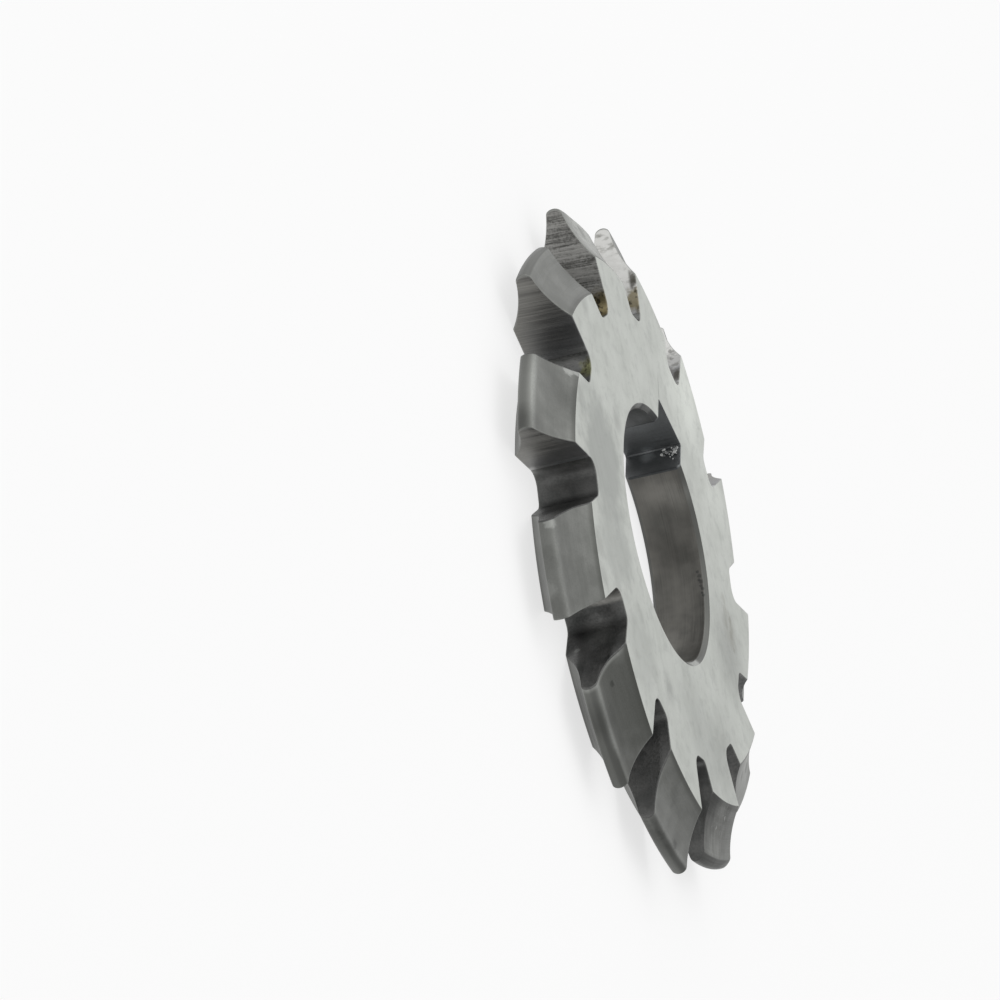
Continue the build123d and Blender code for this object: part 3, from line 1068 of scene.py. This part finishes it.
def scribed_line(tree, place, start, end, width):
    """A groove along a straight line: 1 in its middle, by the distance from the line and along it."""
    along = (end - start).normalized()
    aside = Vector((-along.y, along.x, 0))
    reach = vector_maths(tree, "DOT_PRODUCT", place, along)
    off = apart(tree, vector_maths(tree, "DOT_PRODUCT", place, aside), start.dot(aside))
    line = fading(tree, off, 0.0, width)
    line = product(tree, line, eased(tree, reach, start.dot(along) - 0.1, start.dot(along)))
    return product(tree, line, fading(tree, reach, end.dot(along) - scribed_fade, end.dot(along)))


def side_face_finish():
    """Straight wheel lines, clouds and a fine grain on bright steel, with darker patches, smudges and marks.
    """
    material, tree, shader, place = new_finish("ground_side_face")
    turn = {"Vector": place, "Rotation": (0, 0, -grinding_direction)}
    along, across = split(tree, add(tree, "ShaderNodeMapping", turn).outputs[0])[:2]
    lines = lines_on(tree, across, along, *face_lines)
    crossing = lines_on(tree, along, across, *crossing_lines)
    tone = placed(tree, mottle, Vector=place, Size=face_cloud_size)
    fine = placed(tree, mottle, Vector=place, Size=face_fine_cloud_size)
    blots = eased(tree, noise(tree, place, scale=0.6, detail=5.0, roughness=0.7), 0.48, 0.66)
    colour = mixed(tree, tone["Cloud"], face_dull_colour, face_colour)
    colour = laid_on(tree, colour, face_colour, fine["Cloud"], share=0.5)
    colour = laid_on(tree, colour, face_line_colour, lines["Lines"], share=0.2)
    colour = laid_on(tree, colour, face_dark_colour, blots, share=0.33)
    colour = toned(tree, colour, place, face_tones)
    # broad darker patches over one side of the upper face
    colour = stained(tree, colour, place, face_dark_patches, face_dark_colour)
    colour = stained(tree, colour, place, face_smudges, face_smudge_colour)
    specks = eased(tree, fine["Grain"], 0.8, 1.0)
    colour = stained(tree, colour, place, speckled_places, face_speck_colour, specks)
    scribed = scribed_line(tree, place, scribed_from, scribed_to, scribed_width)
    for mark, share in ((specks, 0.18), (lines["Scores"], 0.08), (crossing["Scores"], 0.1), (scribed, 0.85)):
        colour = laid_on(tree, colour, face_speck_colour, mark, share=share)
    relief = maths(tree, "SUBTRACT", lines["Lines"], product(tree, scribed, scribed_depth))
    finished(tree, shader, colour, lines["Lines"], face_roughness, relief, face_line_depth)
    return material


# The finishes go on in the order of the zones.
for finish in (rake_finish, gullet_finish, relieved_finish, keyway_finish, bore_finish, side_face_finish):
    cutter_mesh.materials.append(finish())

# The grit in the keyway
# A few crumbs of pale grit are caught in old oil on the keyway's far wall. Each is a small
# angular flake, sunk a little into the wall, and all of them are one piece.
# Each flake is given as (y, z, size).
grit_flakes = np.array([
    (13.07, 3.56, 0.15), (12.49, 3.39, 0.19), (12.62, 3.86, 0.15), (13.1, 4.28, 0.13), (12.51, 4.5, 0.2),
    (12.61, 4.62, 0.16), (12.98, 4.78, 0.18), (11.8, 4.41, 0.09), (12.69, 4.21, 0.13), (12.75, 3.5, 0.1),
    (12.35, 3.65, 0.14), (12.9, 4.5, 0.16), (12.3, 4.35, 0.1), (13.15, 4.6, 0.12), (12.1, 4.15, 0.06),
    (12.95, 3.95, 0.08), (12.8, 4.05, 0.12), (12.35, 4.7, 0.11), (12.85, 3.7, 0.1), (12.45, 4.05, 0.08)])
grit_sunk = 0.4               # the share of a flake's size that it lies in the wall
grit_spread = (0.65, 1.3)     # how a flake's radius varies, as shares of its size
grit_stretch = (0.5, 1.35)    # and its three axes, of which the one out of the wall is shorter
grit_flatness = 0.7
grit_seed = 12
grit_rows = 5
grit_columns = 7
grit_dark_colour = (0.1, 0.105, 0.11, 1)
grit_colour = (0.72, 0.73, 0.71, 1)
grit_cloud_size = 0.35
grit_roughness = (0.5, 0.7)
grit_grain_depth = 0.01


def build_grit():
    """Closed angular flakes, each a grid of latitude by longitude that closes in a point at each pole.

    A flake's radius is its size times a random factor at each point of the grid. The flake is
    then stretched by a random amount along each axis. The seed is fixed.
    """
    random = np.random.default_rng(grit_seed)
    size = grit_flakes[:, 2]
    latitude = np.linspace(-np.pi / 2, np.pi / 2, grit_rows)[None, 1:-1, None]
    longitude = (2 * np.pi * np.arange(grit_columns) / grit_columns)[None, None, :]
    ball = [np.cos(latitude) * np.cos(longitude), np.cos(latitude) * np.sin(longitude), np.sin(latitude)]
    ball = np.stack(np.broadcast_arrays(*ball), -1).reshape(1, -1, 3)
    ball = np.concatenate([ball, [[(0, 0, -1), (0, 0, 1)]]], axis=1)
    radius = size[:, None] * random.uniform(*grit_spread, (len(size), ball.shape[1]))
    stretch = random.uniform(*grit_stretch, (len(size), 1, 3)) * [grit_flatness, 1.0, 1.0]
    centre = np.column_stack([key_width / 2 - grit_sunk * size, grit_flakes[:, :2]])
    points = centre[:, None] + ball * radius[..., None] * stretch
    index = np.arange((grit_rows - 2) * grit_columns).reshape(-1, grit_columns)
    after = np.roll(index, -1, axis=1)
    south = np.full(grit_columns, index.size)
    caps = [np.stack([south, after[0], index[0]], -1), np.stack([south + 1, index[-1], after[-1]], -1)]
    start = ball.shape[1] * np.arange(len(size))[:, None, None]
    faces = []
    for part in (quads(index), *caps):
        faces += (start + part).reshape(-1, part.shape[1]).tolist()
    mesh = bpy.data.meshes.new("keyway_grit")
    mesh.from_pydata((points.reshape(-1, 3) * 0.001).tolist(), [], faces)
    return mesh


def grit_finish():
    """Pale stone, some of it greyed by oil."""
    material, tree, shader, place = new_finish("pale_grit", metallic=0.0)
    tone = placed(tree, mottle, Vector=place, Size=grit_cloud_size)
    colour = mixed(tree, tone["Cloud"], grit_dark_colour, grit_colour)
    finished(tree, shader, colour, tone["Grain"], grit_roughness, tone["Grain"], grit_grain_depth)
    return material


grit_mesh = build_grit()
grit_mesh.materials.append(grit_finish())
grit = bpy.data.objects.new("keyway_grit", grit_mesh)
bpy.context.scene.collection.objects.link(grit)
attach(grit, "root")

# The bench and the light
# The disc lies on a plain white bench top in a white studio. Most of the light comes from
# beyond the disc's upper teeth, where a wide soft lamp hangs.
bench_half = 3.0
bench_colour = (0.9, 0.9, 0.9, 1)
bench_roughness = 0.9
bench_share_of_white = 0.7
white_colour = (1, 1, 1, 1)
light_azimuth = np.radians(132.0)
studio_elevation = np.radians(12.0)
studio_low = 0.55             # the strength of the studio's walls away from the light
studio_high = 1.1             # and towards it
studio_turn = 0.9             # how near to straight away or towards, as a cosine, they reach that
lamp_elevation = np.radians(45.0)
lamp_distance = 0.8
lamp_size = 1.0
lamp_power = 1.3

bench_mesh = bpy.data.meshes.new("bench_top")
bench_corners = bench_half * np.array([(-1, -1, 0), (1, -1, 0), (1, 1, 0), (-1, 1, 0)])
bench_mesh.from_pydata(bench_corners.tolist(), [], [(0, 1, 2, 3)])
bench = bpy.data.objects.new("bench_top", bench_mesh)
bpy.context.scene.collection.objects.link(bench)


def seen_share(tree, share):
    """A share for rays from the camera, from gloss and through glass, and none for the light itself."""
    path = tree.nodes.new("ShaderNodeLightPath").outputs
    seen = maths(tree, "MAXIMUM", path["Is Camera Ray"], path["Is Glossy Ray"])
    seen = maths(tree, "MAXIMUM", seen, path["Is Transmission Ray"])
    return product(tree, seen, share)


def towards_light(elevation):
    """The direction of the light, as a unit vector, at an elevation."""
    return Vector((np.cos(light_azimuth) * np.cos(elevation), np.sin(light_azimuth) * np.cos(elevation),
                   np.sin(elevation)))


white = bpy.data.materials.new("white_bench")
white.use_nodes = True
bench_tree = white.node_tree
bench_shader = bench_tree.nodes["Principled BSDF"]
bench_shader.inputs["Base Color"].default_value = bench_colour
bench_shader.inputs["Roughness"].default_value = bench_roughness
bench_shader.inputs["Specular IOR Level"].default_value = 0.0
paper = add(bench_tree, "ShaderNodeEmission", {"Color": white_colour, "Strength": 1.0})
as_paper = seen_share(bench_tree, bench_share_of_white)
lit_and_white = {0: as_paper, 1: bench_shader.outputs[0], 2: paper.outputs[0]}
bench_mix = add(bench_tree, "ShaderNodeMixShader", lit_and_white)
bench_tree.links.new(bench_mix.outputs[0], bench_tree.nodes["Material Output"].inputs["Surface"])
bench_mesh.materials.append(white)

world = bpy.data.worlds.new("studio")
bpy.context.scene.world = world
world.use_nodes = True
studio = world.node_tree
sky = studio.nodes["Background"]
direction = studio.nodes.new("ShaderNodeTexCoord").outputs["Generated"]
facing = vector_maths(studio, "DOT_PRODUCT", direction, towards_light(studio_elevation))
strength = eased(studio, facing, -studio_turn, studio_turn, studio_low, studio_high)
studio.links.new(strength, sky.inputs["Strength"])
sky.inputs["Color"].default_value = white_colour

lamp_data = bpy.data.lights.new("soft_lamp", "AREA")
lamp_data.shape = "DISK"
lamp_data.size = lamp_size
lamp_data.energy = lamp_power
lamp = bpy.data.objects.new("soft_lamp", lamp_data)
lamp.location = lamp_distance * towards_light(lamp_elevation)
lamp.rotation_mode = "QUATERNION"
lamp.rotation_quaternion = lamp.location.to_track_quat("Z", "Y")
bpy.context.scene.collection.objects.link(lamp)
